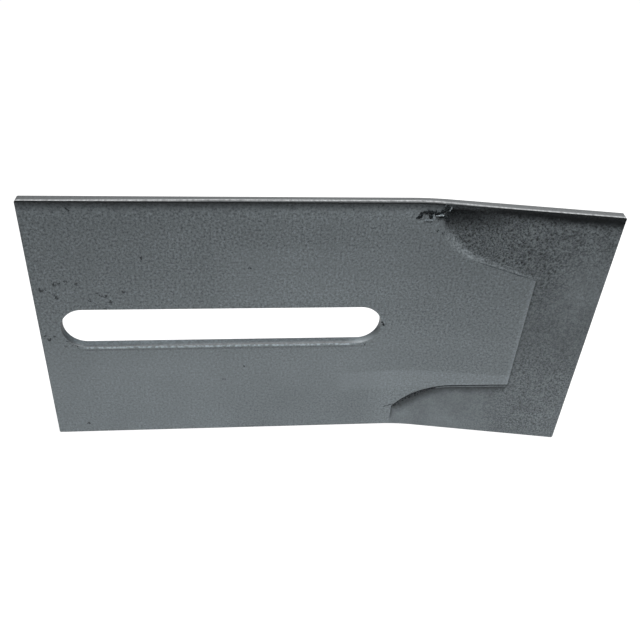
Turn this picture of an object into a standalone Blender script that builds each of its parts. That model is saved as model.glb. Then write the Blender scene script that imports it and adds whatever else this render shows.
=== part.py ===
"""Bolt-on scraper blade for a soil roller: a slotted steel plate, folded near its tip,
with a wear layer fused into a pocket along the three edges of that tip.

Everything is drawn on the flat pattern of the plate and folded afterwards, the way sheet
metal is made. On the pattern s runs from the bolting end to the tip, d from the front face
into the plate and z from the lower edge up, all in millimetres.
"""

import math

import bmesh
import bpy
from mathutils import Vector

MM = 0.001

# The blank
LENGTH = 160.0
HEIGHT = 80.0
THICKNESS = 3.0
CORNER_RADIUS = 0.5
CORNER_STEPS = 5
EDGE_BREAK = 0.25

# The adjusting slot takes an M12 bolt
SLOT_WIDTH = 13.0
SLOT_START = 6.0
SLOT_END = 99.0
SLOT_STEPS = 24

# The tip is folded in a gentle bow towards the front face
FOLD_LINE = 108.5
FOLD_ANGLE = math.radians(10.0)
FOLD_RADIUS = 60.0
FOLD_STRIPS = 10

# The plain steel tongue between the arms of the pocket: its square end, and for each flank
# the height of its corner, its flare, where its run-out arc starts, that arc's radius, and
# where the pocket stops
TONGUE_END = 141.0
UPPER_FLANK = (58.4, math.radians(14.0), 122.5, 16.0, 112.0)
LOWER_FLANK = (20.4, math.radians(7.4), 124.5, 28.0, 106.0)
FLANK_STEPS = 12

# The pocket, and the layer that lies in it: deepest below the plate's face beside the fold,
# shallower towards the tip, and level with the face at the outer edges
POCKET_DEPTH = 1.4
BOND_GAP = 0.3
DROP_AT_FOLD = 0.7
DROP_AT_TONGUE_END = 0.35
DROP_AT_TIP = 0.1
UPPER_RISE_WIDTH = 3.0
LOWER_RISE_WIDTH = 9.0
LAYER_GRID = 4.0

STEEL = (0.30, 0.32, 0.33, 1.0)
WEAR_LAYER = (0.12, 0.13, 0.135, 1.0)


def rounded_corner(centre_s, centre_z, start):
    """A quarter circle of the blank's corner radius, from the angle start anticlockwise."""
    turns = [start + math.pi / 2 * i / CORNER_STEPS for i in range(CORNER_STEPS + 1)]
    return [
        (centre_s + CORNER_RADIUS * math.cos(turn), centre_z + CORNER_RADIUS * math.sin(turn))
        for turn in turns
    ]


def blank_outline():
    low, high = CORNER_RADIUS, HEIGHT - CORNER_RADIUS
    near, far = CORNER_RADIUS, LENGTH - CORNER_RADIUS
    return (
        rounded_corner(far, low, -math.pi / 2)
        + rounded_corner(far, high, 0.0)
        + rounded_corner(near, high, math.pi / 2)
        + rounded_corner(near, low, math.pi)
    )


def slot_outline():
    radius = SLOT_WIDTH / 2
    points = []
    for centre, start in ((SLOT_END - radius, -math.pi / 2), (SLOT_START + radius, math.pi / 2)):
        for i in range(SLOT_STEPS + 1):
            turn = start + math.pi * i / SLOT_STEPS
            points.append((centre + radius * math.cos(turn), HEIGHT / 2 + radius * math.sin(turn)))
    return points


def flank(side, outward, clear):
    """One flank of the tongue from its end corner to the pocket's stop, moved off it by clear.

    A straight flare runs into an arc that turns outwards; v is the distance out from the corner.
    """
    corner_z, flare, arc_start, arc_radius, stop = side
    sin, cos = math.sin(flare), math.cos(flare)
    centre_s = arc_start + arc_radius * sin
    centre_v = (TONGUE_END - arc_start) * math.tan(flare) + arc_radius * cos
    radius = arc_radius - clear
    first = 1.5 * math.pi - flare
    last = math.pi + math.acos((centre_s - stop - clear) / radius)
    path = [(TONGUE_END + clear, clear * (1 - sin) / cos)]
    for i in range(FLANK_STEPS + 1):
        turn = first + (last - first) * i / FLANK_STEPS
        path.append((centre_s + radius * math.cos(turn), centre_v + radius * math.sin(turn)))
    return [(s, corner_z + outward * v) for s, v in path]


def tongue_outline(clear):
    """The pocket's inner side, from its upper stop round the tongue to its lower stop."""
    upper = flank(UPPER_FLANK, 1, clear)
    lower = flank(LOWER_FLANK, -1, clear)
    return upper[::-1] + lower


def pocket_outline():
    beyond = 5.0
    inner = tongue_outline(0.0)
    return (
        [(inner[0][0], HEIGHT + beyond)]
        + inner
        + [(inner[-1][0], -beyond), (LENGTH + beyond, -beyond), (LENGTH + beyond, HEIGHT + beyond)]
    )


def layer_outline():
    inner = tongue_outline(BOND_GAP)
    low, high = CORNER_RADIUS, HEIGHT - CORNER_RADIUS
    far = LENGTH - CORNER_RADIUS
    return (
        [(inner[0][0], HEIGHT)]
        + inner
        + [(inner[-1][0], 0.0)]
        + rounded_corner(far, low, -math.pi / 2)
        + rounded_corner(far, high, 0.0)
    )


def prism(name, outline, front, back):
    """A closed solid with this outline on the pattern, between two depths."""
    shape = bmesh.new()
    rim = [shape.verts.new(Vector((s, front, z)) * MM) for s, z in outline]
    face = shape.faces.new(rim)
    pushed = bmesh.ops.extrude_face_region(shape, geom=[face])["geom"]
    moved = [item for item in pushed if isinstance(item, bmesh.types.BMVert)]
    bmesh.ops.translate(shape, verts=moved, vec=(0.0, (back - front) * MM, 0.0))
    bmesh.ops.recalc_face_normals(shape, faces=shape.faces)
    mesh = bpy.data.meshes.new(name)
    shape.to_mesh(mesh)
    shape.free()
    obj = bpy.data.objects.new(name, mesh)
    bpy.context.collection.objects.link(obj)
    return obj


def apply_modifier(obj, modifier):
    bpy.ops.object.select_all(action="DESELECT")
    bpy.context.view_layer.objects.active = obj
    obj.select_set(True)
    bpy.ops.object.modifier_apply(modifier=modifier.name)


def cut(obj, cutter):
    cutter.hide_render = True
    cutter.display_type = "WIRE"
    boolean = obj.modifiers.new(cutter.name, "BOOLEAN")
    boolean.operation = "DIFFERENCE"
    boolean.solver = "EXACT"
    boolean.object = cutter
    apply_modifier(obj, boolean)
    bpy.data.objects.remove(cutter)


def break_edges(obj, width):
    """A small round along every sharp edge, as tumbling leaves it."""
    bevel = obj.modifiers.new("edge_break", "BEVEL")
    bevel.width = width * MM
    bevel.segments = 2
    bevel.limit_method = "ANGLE"
    bevel.angle_limit = math.radians(40.0)
    apply_modifier(obj, bevel)


def slice_at(shape, along, places):
    """Splits the faces of a mesh where they cross these places along the s or z axis."""
    for place in places:
        everything = shape.verts[:] + shape.edges[:] + shape.faces[:]
        bmesh.ops.bisect_plane(
            shape, geom=everything, dist=1e-8, plane_co=along * place * MM, plane_no=along
        )


def smooth_step(value):
    value = min(max(value, 0.0), 1.0)
    return value * value * (3.0 - 2.0 * value)


def layer_drop(s, z):
    """How far the layer's surface lies below the plate's face at this point of the pattern."""
    if s > TONGUE_END:
        part = (s - TONGUE_END) / (LENGTH - TONGUE_END)
        drop = DROP_AT_TONGUE_END + (DROP_AT_TIP - DROP_AT_TONGUE_END) * part
    else:
        part = min((TONGUE_END - s) / (TONGUE_END - FOLD_LINE), 1.0)
        drop = DROP_AT_TONGUE_END + (DROP_AT_FOLD - DROP_AT_TONGUE_END) * part
    upper = smooth_step((HEIGHT - z) / UPPER_RISE_WIDTH)
    lower = smooth_step(z / LOWER_RISE_WIDTH)
    return drop * min(upper, lower)


def shape_layer(obj):
    """Cuts the layer's faces into a grid and sinks its front face to the cast surface."""
    shape = bmesh.new()
    shape.from_mesh(obj.data)
    columns = int((LENGTH - LOWER_FLANK[4]) / LAYER_GRID)
    slice_at(shape, Vector((1, 0, 0)), [LENGTH - LAYER_GRID * (i + 1) for i in range(columns)])
    steps = [i / 4 for i in range(1, 5)]
    rows = [step * LOWER_RISE_WIDTH for step in steps]
    rows += [HEIGHT - step * UPPER_RISE_WIDTH for step in steps]
    slice_at(shape, Vector((0, 0, 1)), rows)
    for vert in shape.verts:
        if vert.co.y < 0.5 * BOND_GAP * MM:
            vert.co.y = layer_drop(vert.co.x / MM, vert.co.z / MM) * MM
    shape.to_mesh(obj.data)
    shape.free()


def folded(s, d):
    """Where a point of the pattern lands once the tip is folded about its inside radius."""
    start = FOLD_LINE - FOLD_RADIUS * FOLD_ANGLE / 2
    turn = min(max((s - start) / FOLD_RADIUS, 0.0), FOLD_ANGLE)
    past = max(s - start - FOLD_RADIUS * FOLD_ANGLE, 0.0)
    reach = FOLD_RADIUS + d
    x = min(s, start) + reach * math.sin(turn) + past * math.cos(FOLD_ANGLE)
    y = reach * math.cos(turn) - FOLD_RADIUS - past * math.sin(FOLD_ANGLE)
    return x, y


def fold(obj):
    shape = bmesh.new()
    shape.from_mesh(obj.data)
    start = FOLD_LINE - FOLD_RADIUS * FOLD_ANGLE / 2
    width = FOLD_RADIUS * FOLD_ANGLE / FOLD_STRIPS
    slice_at(shape, Vector((1, 0, 0)), [start + width * i for i in range(FOLD_STRIPS + 1)])
    for vert in shape.verts:
        x, y = folded(vert.co.x / MM, vert.co.y / MM)
        vert.co.x = x * MM
        vert.co.y = y * MM
    shape.to_mesh(obj.data)
    shape.free()


def stand_on_lower_edge(objects):
    """Hangs the pieces on one empty, placed so that they stand centred over the origin."""
    points = [vert.co for obj in objects for vert in obj.data.vertices]
    low = Vector([min(point[axis] for point in points) for axis in range(3)])
    high = Vector([max(point[axis] for point in points) for axis in range(3)])
    pattern_origin = bpy.data.objects.new("pattern_origin", None)
    pattern_origin.location = (-(low.x + high.x) / 2, -(low.y + high.y) / 2, -low.z)
    bpy.context.collection.objects.link(pattern_origin)
    for obj in objects:
        obj.parent = pattern_origin


def smooth_shade(obj):
    """Smooth across the fold and round the slot's ends, sharp at the real edges."""
    obj.data.shade_smooth()
    obj.data.set_sharp_from_angle(angle=math.radians(30.0))


def paint(obj, colour, roughness, metallic):
    material = bpy.data.materials.new(obj.name)
    material.use_nodes = True
    surface = material.node_tree.nodes["Principled BSDF"]
    surface.inputs["Base Color"].default_value = colour
    surface.inputs["Roughness"].default_value = roughness
    surface.inputs["Metallic"].default_value = metallic
    obj.data.materials.clear()
    obj.data.materials.append(material)


for old in list(bpy.data.objects):
    bpy.data.objects.remove(old)

blade = prism("scraper_blade", blank_outline(), 0.0, THICKNESS)
cut(blade, prism("slot_cutter", slot_outline(), -2.0, THICKNESS + 2.0))
break_edges(blade, EDGE_BREAK)
cut(blade, prism("pocket_cutter", pocket_outline(), -2.0, POCKET_DEPTH))
fold(blade)

layer = prism("hard_facing_layer", layer_outline(), 0.0, POCKET_DEPTH - BOND_GAP)
shape_layer(layer)
fold(layer)

stand_on_lower_edge([blade, layer])
smooth_shade(blade)
smooth_shade(layer)
paint(blade, STEEL, 0.45, 0.85)
paint(layer, WEAR_LAYER, 0.7, 0.5)
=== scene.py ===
# %% [markdown]
# A bolt-on scraper blade, dressed for its picture
#
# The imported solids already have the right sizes: a slotted steel plate with a folded tip, and
# a wear layer lying in a pocket round that tip. This lesson gives them the surface of the
# real thing. Everything is modelled on the flat pattern of the plate and folded last, the way
# the blade itself is made, so each step can be checked with a ruler.

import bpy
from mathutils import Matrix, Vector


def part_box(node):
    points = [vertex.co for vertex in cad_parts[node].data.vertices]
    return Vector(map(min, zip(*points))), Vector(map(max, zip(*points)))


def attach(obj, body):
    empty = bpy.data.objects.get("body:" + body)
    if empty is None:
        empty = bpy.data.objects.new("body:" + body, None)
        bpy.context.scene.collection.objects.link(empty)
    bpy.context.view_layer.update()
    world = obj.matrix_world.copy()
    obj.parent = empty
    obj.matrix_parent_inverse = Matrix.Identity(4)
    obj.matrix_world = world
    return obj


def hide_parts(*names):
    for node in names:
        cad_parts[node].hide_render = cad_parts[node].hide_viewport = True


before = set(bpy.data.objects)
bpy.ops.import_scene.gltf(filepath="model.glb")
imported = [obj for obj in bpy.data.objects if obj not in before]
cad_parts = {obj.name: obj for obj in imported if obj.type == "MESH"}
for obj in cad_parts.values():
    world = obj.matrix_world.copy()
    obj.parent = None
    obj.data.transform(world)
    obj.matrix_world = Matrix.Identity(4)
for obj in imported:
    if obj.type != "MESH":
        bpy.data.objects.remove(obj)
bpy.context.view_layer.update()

# %% [markdown]
# The flat pattern
#
# On the pattern, s runs along the plate from the bolting end to the tip, d from the front
# face into the steel, and z from the lower edge up, all in millimetres. The solid's own box
# says where the pattern's zero lies, so a point of the pattern can be placed with no fitting.

# %% Place points by their pattern sizes
import math
import random

import bmesh
import bpy
import numpy as np
from mathutils import Vector, noise

MM = 0.001
TINY = 1e-6
LENGTH, HEIGHT, THICKNESS = 160.0, 80.0, 3.0

plate_low, plate_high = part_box("scraper_blade")
PATTERN_ZERO = Vector((plate_low.x, plate_high.y - THICKNESS * MM, plate_low.z))


def spot(s, d, z):
    """The point of the flat pattern, in metres of the scene."""
    return PATTERN_ZERO + Vector((s, d, z)) * MM


def on_pattern(point):
    """Where a point of the scene lies on the flat pattern, in millimetres."""
    return (point - PATTERN_ZERO) / MM


print("pattern zero at", tuple(PATTERN_ZERO))

# %% [markdown]
# Working by hand, in code
#
# Every operator acts on what is selected. These helpers do what a hand does before each
# step: let go of everything, take hold of one piece, and pick the faces, edges or points
# that the next operator should change by where they are.

# %% Take hold of a piece and pick parts of it


def leave():
    """Leaves edit mode."""
    if bpy.context.mode != "OBJECT":
        bpy.ops.object.mode_set(mode="OBJECT")


def let_go():
    """Leaves edit mode and deselects everything."""
    leave()
    bpy.ops.object.select_all(action="DESELECT")


def take(obj):
    """Makes this the only selected object."""
    let_go()
    obj.select_set(True)
    bpy.context.view_layer.objects.active = obj


def pick(obj, kind, wanted):
    """Opens the piece in edit mode with only the wanted faces, edges or points selected."""
    take(obj)
    bpy.ops.object.mode_set(mode="EDIT")
    bpy.ops.mesh.select_mode(type=kind)
    bpy.ops.mesh.select_all(action="DESELECT")
    shape = bmesh.from_edit_mesh(obj.data)
    items = {"VERT": shape.verts, "EDGE": shape.edges, "FACE": shape.faces}[kind]
    found = [item for item in items if wanted(item)]
    for item in found:
        item.select_set(True)
    bmesh.update_edit_mesh(obj.data)
    return len(found)


# %% [markdown]
# The blank
#
# The plate starts as a sheared blank: a cube at its real size. A bevel on the four edges that
# run through the thickness rounds the corners, as a file would.

# %% Shear the blank
CORNER_RADIUS = 0.5
CORNER_STEPS = 5

let_go()
bpy.ops.mesh.primitive_cube_add(
    size=1.0,
    location=spot(LENGTH / 2, THICKNESS / 2, HEIGHT / 2),
    scale=(LENGTH * MM, THICKNESS * MM, HEIGHT * MM),
)
blade = bpy.context.object
blade.name = "folded_blade"
bpy.ops.object.transform_apply(location=True, rotation=True, scale=True)


def runs_through(edge):
    """True for an edge along the plate's thickness."""
    return abs((edge.verts[0].co - edge.verts[1].co).normalized().y) > 0.9


pick(blade, "EDGE", runs_through)
bpy.ops.mesh.bevel(offset=CORNER_RADIUS * MM, segments=CORNER_STEPS, affect="EDGES")
leave()
print("blank:", len(blade.data.polygons), "faces")

# %% [markdown]
# The slot
#
# One bolt clamps the plate, and the long slot lets it be pushed forward as the tip wears. The
# punch is a cylinder pulled apart into a round-ended bar, which keeps both ends true half
# circles. A boolean then cuts its shape away.

# %% Punch the slot
SLOT_WIDTH, SLOT_START, SLOT_END = 13.0, 6.0, 99.0
SLOT_Z = HEIGHT / 2
slot_radius = SLOT_WIDTH / 2


def apply_last(obj):
    """Applies the piece's newest modifier."""
    take(obj)
    bpy.ops.object.modifier_apply(modifier=obj.modifiers[-1].name)


def cut_away(obj, cutter):
    """Removes the cutter's shape from the piece."""
    boolean = obj.modifiers.new("cut", "BOOLEAN")
    boolean.operation = "DIFFERENCE"
    boolean.solver = "EXACT"
    boolean.object = cutter
    apply_last(obj)
    bpy.data.objects.remove(cutter)


let_go()
bpy.ops.mesh.primitive_cylinder_add(
    vertices=96,
    radius=slot_radius * MM,
    depth=3 * THICKNESS * MM,
    location=spot(SLOT_START + slot_radius, THICKNESS / 2, SLOT_Z),
    rotation=(math.pi / 2, 0.0, 0.0),
)
slot_bar = bpy.context.object
bpy.ops.object.transform_apply(location=True, rotation=True, scale=True)
slot_middle = spot(SLOT_START + slot_radius, 0, 0).x
pick(slot_bar, "VERT", lambda vert: vert.co.x > slot_middle + TINY)
bpy.ops.transform.translate(value=((SLOT_END - SLOT_START - SLOT_WIDTH) * MM, 0, 0))
leave()
cut_away(blade, slot_bar)
print("slotted blank:", len(blade.data.polygons), "faces")

# %% [markdown]
# The front rims
#
# Shearing drags the steel along: it rolls over on one face and stands up as a burr on the
# other. A bevel round the front rims gives each edge a narrow band of its own. Sliding the
# band's outer loop forward again leaves a flat band, which later becomes the slope of the burr.

# %% Give the front rims a band
RIM_BAND = 0.8
front_y = PATTERN_ZERO.y


def on_rim(edge, y):
    """True where the flat face at this depth meets a cut wall."""
    level = all(abs(vert.co.y - y) < TINY for vert in edge.verts)
    turned = [abs(face.normal.y) > 0.9 for face in edge.link_faces]
    return level and any(turned) and not all(turned)


count = pick(blade, "EDGE", lambda edge: on_rim(edge, front_y))
bpy.ops.mesh.bevel(offset=RIM_BAND * MM, segments=1, affect="EDGES", clamp_overlap=False)
band_y = front_y + RIM_BAND * MM
moved = pick(blade, "VERT", lambda vert: abs(vert.co.y - band_y) < TINY)
bpy.ops.transform.translate(value=(0, -RIM_BAND * MM, 0))
leave()
print("front rim:", count, "edges banded,", moved, "points slid forward")

# %% [markdown]
# The rear rims
#
# On the rear face the cuts have rolled the steel over, so these rims feel soft. A bevel of
# three steps does it, outside and round the slot in turn. It comes before the plate is cut into
# small fields, because a bevel can't be wider than the short edges beside it allow.

# %% Roll the rear rims over
ROLLOVER_OUTSIDE, ROLLOVER_SLOT = 0.2, 0.12
ON_OUTLINE = 0.1
rear_y = front_y + THICKNESS * MM


def slot_distance(s, z):
    """How far a point of the pattern is outside the slot's outline."""
    middle = min(max(s, SLOT_START + slot_radius), SLOT_END - slot_radius)
    return math.hypot(s - middle, z - SLOT_Z) - slot_radius


def on_slot(edge):
    middle = on_pattern((edge.verts[0].co + edge.verts[1].co) / 2)
    return abs(slot_distance(middle.x, middle.z)) < ON_OUTLINE


for radius, slotted in ((ROLLOVER_OUTSIDE, False), (ROLLOVER_SLOT, True)):
    count = pick(blade, "EDGE", lambda edge: on_rim(edge, rear_y) and on_slot(edge) == slotted)
    bpy.ops.mesh.bevel(offset=radius * MM, segments=3, affect="EDGES", clamp_overlap=True)
    leave()
    print("rolled over", count, "rear edges by up to", radius, "mm")

# %% [markdown]
# Small fields
#
# The next steps push single points about, so the plate needs points all over. Bisecting it on
# evenly spaced planes gives small fields, with a few close rows under the upper edge. Where two
# planes meet right on the slot's outline, points fall almost together, and those are joined.

# %% Cut the plate into small fields
FIELD_LENGTH, FIELD_HEIGHT = 1.0, 2.0
CLOSE_ROWS = (0.35, 1.3, 3.0)
JOIN_BESIDE_SLOT = 0.02


def slice_across(obj, axis, places):
    """Cuts lines across the whole piece, square to the axis, at these points."""
    normal = [1.0 if i == axis else 0.0 for i in range(3)]
    take(obj)
    bpy.ops.object.mode_set(mode="EDIT")
    for place in places:
        bpy.ops.mesh.select_all(action="SELECT")
        bpy.ops.mesh.bisect(plane_co=place, plane_no=normal, threshold=1e-7)
    leave()


def tidy_mesh(obj, closest, wanted=lambda vert: True):
    """Joins wanted points nearer than this many millimetres and turns all faces outwards."""
    pick(obj, "VERT", wanted)
    bpy.ops.mesh.remove_doubles(threshold=closest * MM)
    bpy.ops.mesh.select_all(action="SELECT")
    bpy.ops.mesh.normals_make_consistent(inside=False)
    leave()


def beside_slot(vert):
    place = on_pattern(vert.co)
    return abs(slot_distance(place.x, place.z)) < 1.0


columns = [spot(FIELD_LENGTH * i, 0, 0) for i in range(1, int(LENGTH / FIELD_LENGTH))]
rows = [spot(0, 0, FIELD_HEIGHT * i) for i in range(1, int(HEIGHT / FIELD_HEIGHT))]
rows += [spot(0, 0, HEIGHT - row) for row in CLOSE_ROWS]
slice_across(blade, 0, columns)
slice_across(blade, 2, rows)
tidy_mesh(blade, JOIN_BESIDE_SLOT, beside_slot)
print("blade now has", len(blade.data.polygons), "faces")

# %% [markdown]
# The burr
#
# The burr stands tallest along the upper edge and round the slot, and is only felt with a
# fingernail elsewhere. Noise makes it ragged, since a burr tears. Under the upper burr the
# shear has pulled the face back into a long shallow dish, which the burr keeps in shade.

# %% Raise the burr and dish the face below it
BURR_UPPER, BURR_SLOT, BURR_ELSEWHERE = 0.06, 0.06, 0.03
TEAR_SIZE, TEAR_AMOUNT = 1.5, 0.7
CREST_ROUND = 0.04
DISH_DEPTH, DISH_DEEPEST, DISH_WIDTH = 0.24, 0.9, 6.5


def smooth(value):
    """Eases a share from 0 to 1."""
    value = np.clip(value, 0.0, 1.0)
    return value * value * (3.0 - 2.0 * value)


def burr_height(s, z):
    if abs(slot_distance(s, z)) < ON_OUTLINE:
        return BURR_SLOT
    upper = min(max((z - HEIGHT + 1.5 * CORNER_RADIUS) / CORNER_RADIUS, 0.0), 1.0)
    return BURR_ELSEWHERE + (BURR_UPPER - BURR_ELSEWHERE) * upper


def upper_dish(z):
    """How far the face lies back below the upper burr."""
    below = HEIGHT - z
    run_out = smooth((DISH_WIDTH - below) / (DISH_WIDTH - DISH_DEEPEST))
    return DISH_DEPTH * smooth(below / DISH_DEEPEST) * run_out


pick(blade, "EDGE", lambda edge: on_rim(edge, front_y))
shape = bmesh.from_edit_mesh(blade.data)
for vert in shape.verts:
    if abs(vert.co.y - front_y) < TINY:
        place = on_pattern(vert.co)
        if vert.select:
            ragged = 1.0 + TEAR_AMOUNT * noise.noise(vert.co / (TEAR_SIZE * MM))
            vert.co.y -= burr_height(place.x, place.z) * ragged * MM
        else:
            vert.co.y += upper_dish(place.z) * MM
bpy.ops.mesh.bevel(offset=CREST_ROUND * MM, segments=2, affect="EDGES", clamp_overlap=True)
leave()
print("blade with burr:", len(blade.data.polygons), "faces")

# %% [markdown]
# The tongue
#
# Round the tip the face is taken down for the wear layer, leaving a tongue of plain steel
# between two arms. Each flank of the tongue is a straight flare that runs out in an arc, so a
# handful of sizes and one formula draw it. The same outline shapes the pocket and the layer.

# %% Draw the tongue
TONGUE_END = 141.0
FLANK_STEPS = 24
# corner's z, flare, where the arc starts, its radius, where the pocket stops
UPPER_FLANK = (58.4, math.radians(14.0), 122.5, 16.0, 112.0)
LOWER_FLANK = (20.4, math.radians(7.4), 124.5, 28.0, 106.0)


def flank(side, outward, steps):
    """Points along one flank, from the tongue's end corner to where the pocket stops."""
    corner_z, flare, arc_start, arc_radius, stop = side
    centre_s = arc_start + arc_radius * math.sin(flare)
    centre_v = (TONGUE_END - arc_start) * math.tan(flare) + arc_radius * math.cos(flare)
    first = 1.5 * math.pi - flare
    last = math.pi + math.acos((centre_s - stop) / arc_radius)
    path = [(TONGUE_END, 0.0)]
    for i in range(steps + 1):
        turn = first + (last - first) * i / steps
        path.append((centre_s + arc_radius * math.cos(turn), centre_v + arc_radius * math.sin(turn)))
    return [(s, corner_z + outward * v) for s, v in path]


upper_flank = flank(UPPER_FLANK, 1, FLANK_STEPS)
lower_flank = flank(LOWER_FLANK, -1, FLANK_STEPS)
tongue = upper_flank[::-1] + lower_flank
upper_stop, lower_stop = tongue[0][0], tongue[-1][0]
print("tongue outline:", len(tongue), "points")

# %% [markdown]
# The pocket
#
# A cutter takes the pocket out of the front face. It is the tongue's outline closed well
# outside the plate, filled with one face and extruded, so only the tongue's side leaves a wall.

# %% Mill the pocket
POCKET_DEPTH = 1.4
BEYOND = 5.0
CUTTER_FRONT = -2.0
JOIN_ALL_OVER = 0.005


def slab(name, outline, front, back):
    """A flat outline filled with one face and extruded into the plate."""
    mesh = bpy.data.meshes.new(name)
    mesh.from_pydata([spot(s, front, z) for s, z in outline], [], [range(len(outline))])
    obj = bpy.data.objects.new(name, mesh)
    bpy.context.collection.objects.link(obj)
    pick(obj, "FACE", lambda face: True)
    bpy.ops.mesh.extrude_region_move(
        TRANSFORM_OT_translate={"value": (0.0, (back - front) * MM, 0.0)}
    )
    bpy.ops.mesh.select_all(action="SELECT")
    bpy.ops.mesh.normals_make_consistent(inside=False)
    leave()
    return obj


pocket_outline = [(upper_stop, HEIGHT + BEYOND), *tongue, (lower_stop, -BEYOND)]
pocket_outline += [(LENGTH + BEYOND, -BEYOND), (LENGTH + BEYOND, HEIGHT + BEYOND)]
cut_away(blade, slab("pocket_cutter", pocket_outline, CUTTER_FRONT, POCKET_DEPTH))
tidy_mesh(blade, JOIN_ALL_OVER)
print("blade with pocket:", len(blade.data.polygons), "faces")

# %% [markdown]
# The wear layer
#
# A hard, coarse alloy is melted into the pocket. Here it starts as a slab of the pocket's
# outline. Its front face is cut into a fine mesh, because the next step pushes every point
# of it to a surface that sags, wrinkles and cracks.

# %% Pour the layer
LAYER_FIELD = 1.25
LAYER_CUTS = 4


def rounded_corner(centre_s, centre_z, start):
    turns = [start + math.pi / 2 * i / CORNER_STEPS for i in range(CORNER_STEPS + 1)]
    return [
        (centre_s + CORNER_RADIUS * math.cos(turn), centre_z + CORNER_RADIUS * math.sin(turn))
        for turn in turns
    ]


tip = LENGTH - CORNER_RADIUS
layer_outline = [(upper_stop, HEIGHT), *tongue, (lower_stop, 0.0)]
layer_outline += rounded_corner(tip, CORNER_RADIUS, -math.pi / 2)
layer_outline += rounded_corner(tip, HEIGHT - CORNER_RADIUS, 0.0)
layer = slab("fused_wear_layer", layer_outline, 0.0, POCKET_DEPTH)
steps = int((LENGTH - lower_stop) / LAYER_FIELD)
slice_across(layer, 0, [spot(LENGTH - LAYER_FIELD * (i + 0.5), 0, 0) for i in range(steps)])
steps = int(HEIGHT / LAYER_FIELD)
slice_across(layer, 2, [spot(0, 0, LAYER_FIELD * (i + 0.5)) for i in range(steps)])
pick(layer, "FACE", lambda face: face.normal.y < -0.9)
bpy.ops.mesh.quads_convert_to_tris()
bpy.ops.mesh.subdivide(number_cuts=LAYER_CUTS)
leave()
print("layer:", len(layer.data.polygons), "faces")

# %% [markdown]
# How the melt sags
#
# The liquid alloy sags. Its surface lies deepest beside the fold, meets the upper flank in a
# soft fillet and stays level with the plate along the outer edges. A groove follows the lower
# flank and a fine crack the upper one. Written as a depth for each place, the surface can be
# asked for again when beads are laid on it.

# %% Describe the sagged surface
RIM_FALL = 2.0
GROOVE_DEPTH, GROOVE_WIDTH = 0.18, 0.6
CRACK_DEPTH, CRACK_WIDTH, CRACK_START = 0.12, 0.35, 122.0
upper_edge = [*upper_flank, (upper_stop, HEIGHT)]


def distance_to(path, s, z):
    """Distance from each point to the nearest stretch of a path."""
    best = np.full(len(s), 1e9)
    for (s0, z0), (s1, z1) in zip(path, path[1:]):
        run_s, run_z = s1 - s0, z1 - z0
        part = ((s - s0) * run_s + (z - z0) * run_z) / (run_s**2 + run_z**2)
        part = np.clip(part, 0.0, 1.0)
        best = np.minimum(best, np.hypot(s - s0 - part * run_s, z - z0 - part * run_z))
    return best


def upper_crack(s, z):
    """1 on the fine crack along the straight part of the upper flank, 0 away from it."""
    closeness = 1.0 - smooth(distance_to(upper_flank, s, z) / CRACK_WIDTH)
    return closeness * smooth((s - CRACK_START) / 4.0) * smooth((TONGUE_END - 1.0 - s) / 3.0)


def near_upper_flank(s, z):
    """0 on the upper flank, 1 where its fillet has run out."""
    fillet = np.interp(s, [112, 122, 132], [4.5, 2.5, 1.9])
    fillet *= np.interp(z, [71, 75, 78], [1.0, 0.4, 0.2])
    return distance_to(upper_edge, s, z) / fillet


def layer_drop(s, z):
    """How far the layer's surface lies below the plate's face."""
    upper_arm = np.interp(s, [112, 118, 126, 136, 160], [0.95, 0.95, 0.5, 0.28, 0.26])
    lower_arm = np.interp(s, [106, 112, 122, 140, 160], [0.30, 0.40, 0.30, 0.20, 0.14])
    drop = lower_arm + (upper_arm - lower_arm) * smooth((z - 28.0) / 30.0)
    drop *= smooth((HEIGHT - z) / RIM_FALL) * smooth(z / 7.0)
    drop *= 0.4 + 0.6 * smooth((LENGTH - s) / 5.0)
    drop *= 0.03 + 0.97 * smooth(near_upper_flank(s, z))
    groove = 1.0 - smooth(distance_to(lower_flank, s, z) / GROOVE_WIDTH)
    drop += GROOVE_DEPTH * groove * smooth((TONGUE_END - s) / 1.0)
    return drop + CRACK_DEPTH * upper_crack(s, z)


def drop_at(s, z):
    """The same for a single point."""
    return layer_drop(np.array([s]), np.array([z]))[0]


print("beside the fold the layer lies", drop_at(118.0, 74.0), "mm below the face")

# %% [markdown]
# Now the front points go to that surface. The burr of the upper edge runs on across the layer,
# and noise of two sizes raises the lumps that hard grains leave. The lumps fade out at the
# rim, so the outline stays straight.

# %% Push the surface to its place
LUMP_HEIGHT = 0.045


def lumps_at(point):
    """Lumps of two sizes, as a height around 0."""
    return noise.noise(point / 1.7) + 0.7 * noise.noise(point / 0.8)


places = np.empty(len(layer.data.vertices) * 3)
layer.data.vertices.foreach_get("co", places)
places = places.reshape(-1, 3)
flat = (places - np.array(PATTERN_ZERO)) / MM
front = flat[:, 1] < 0.1
s, z = flat[front, 0], flat[front, 2]
burr = BURR_UPPER * (1.0 - smooth((HEIGHT - z) / RIM_BAND))
lumps = np.array([lumps_at(Vector(point)) for point in flat[front]])
lumps *= 0.45 + 0.55 * smooth((z - 10.0) / 15.0)
inside = smooth(np.minimum(np.minimum(z, HEIGHT - z), LENGTH - s) / 1.0)
flat[front, 1] = layer_drop(s, z) - burr + LUMP_HEIGHT * lumps * inside
places = np.array(PATTERN_ZERO) + flat * MM
layer.data.vertices.foreach_set("co", places.ravel())
layer.data.update()
print("layer surface lies", flat[front, 1].min(), "to", flat[front, 1].max(), "mm deep")
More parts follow.
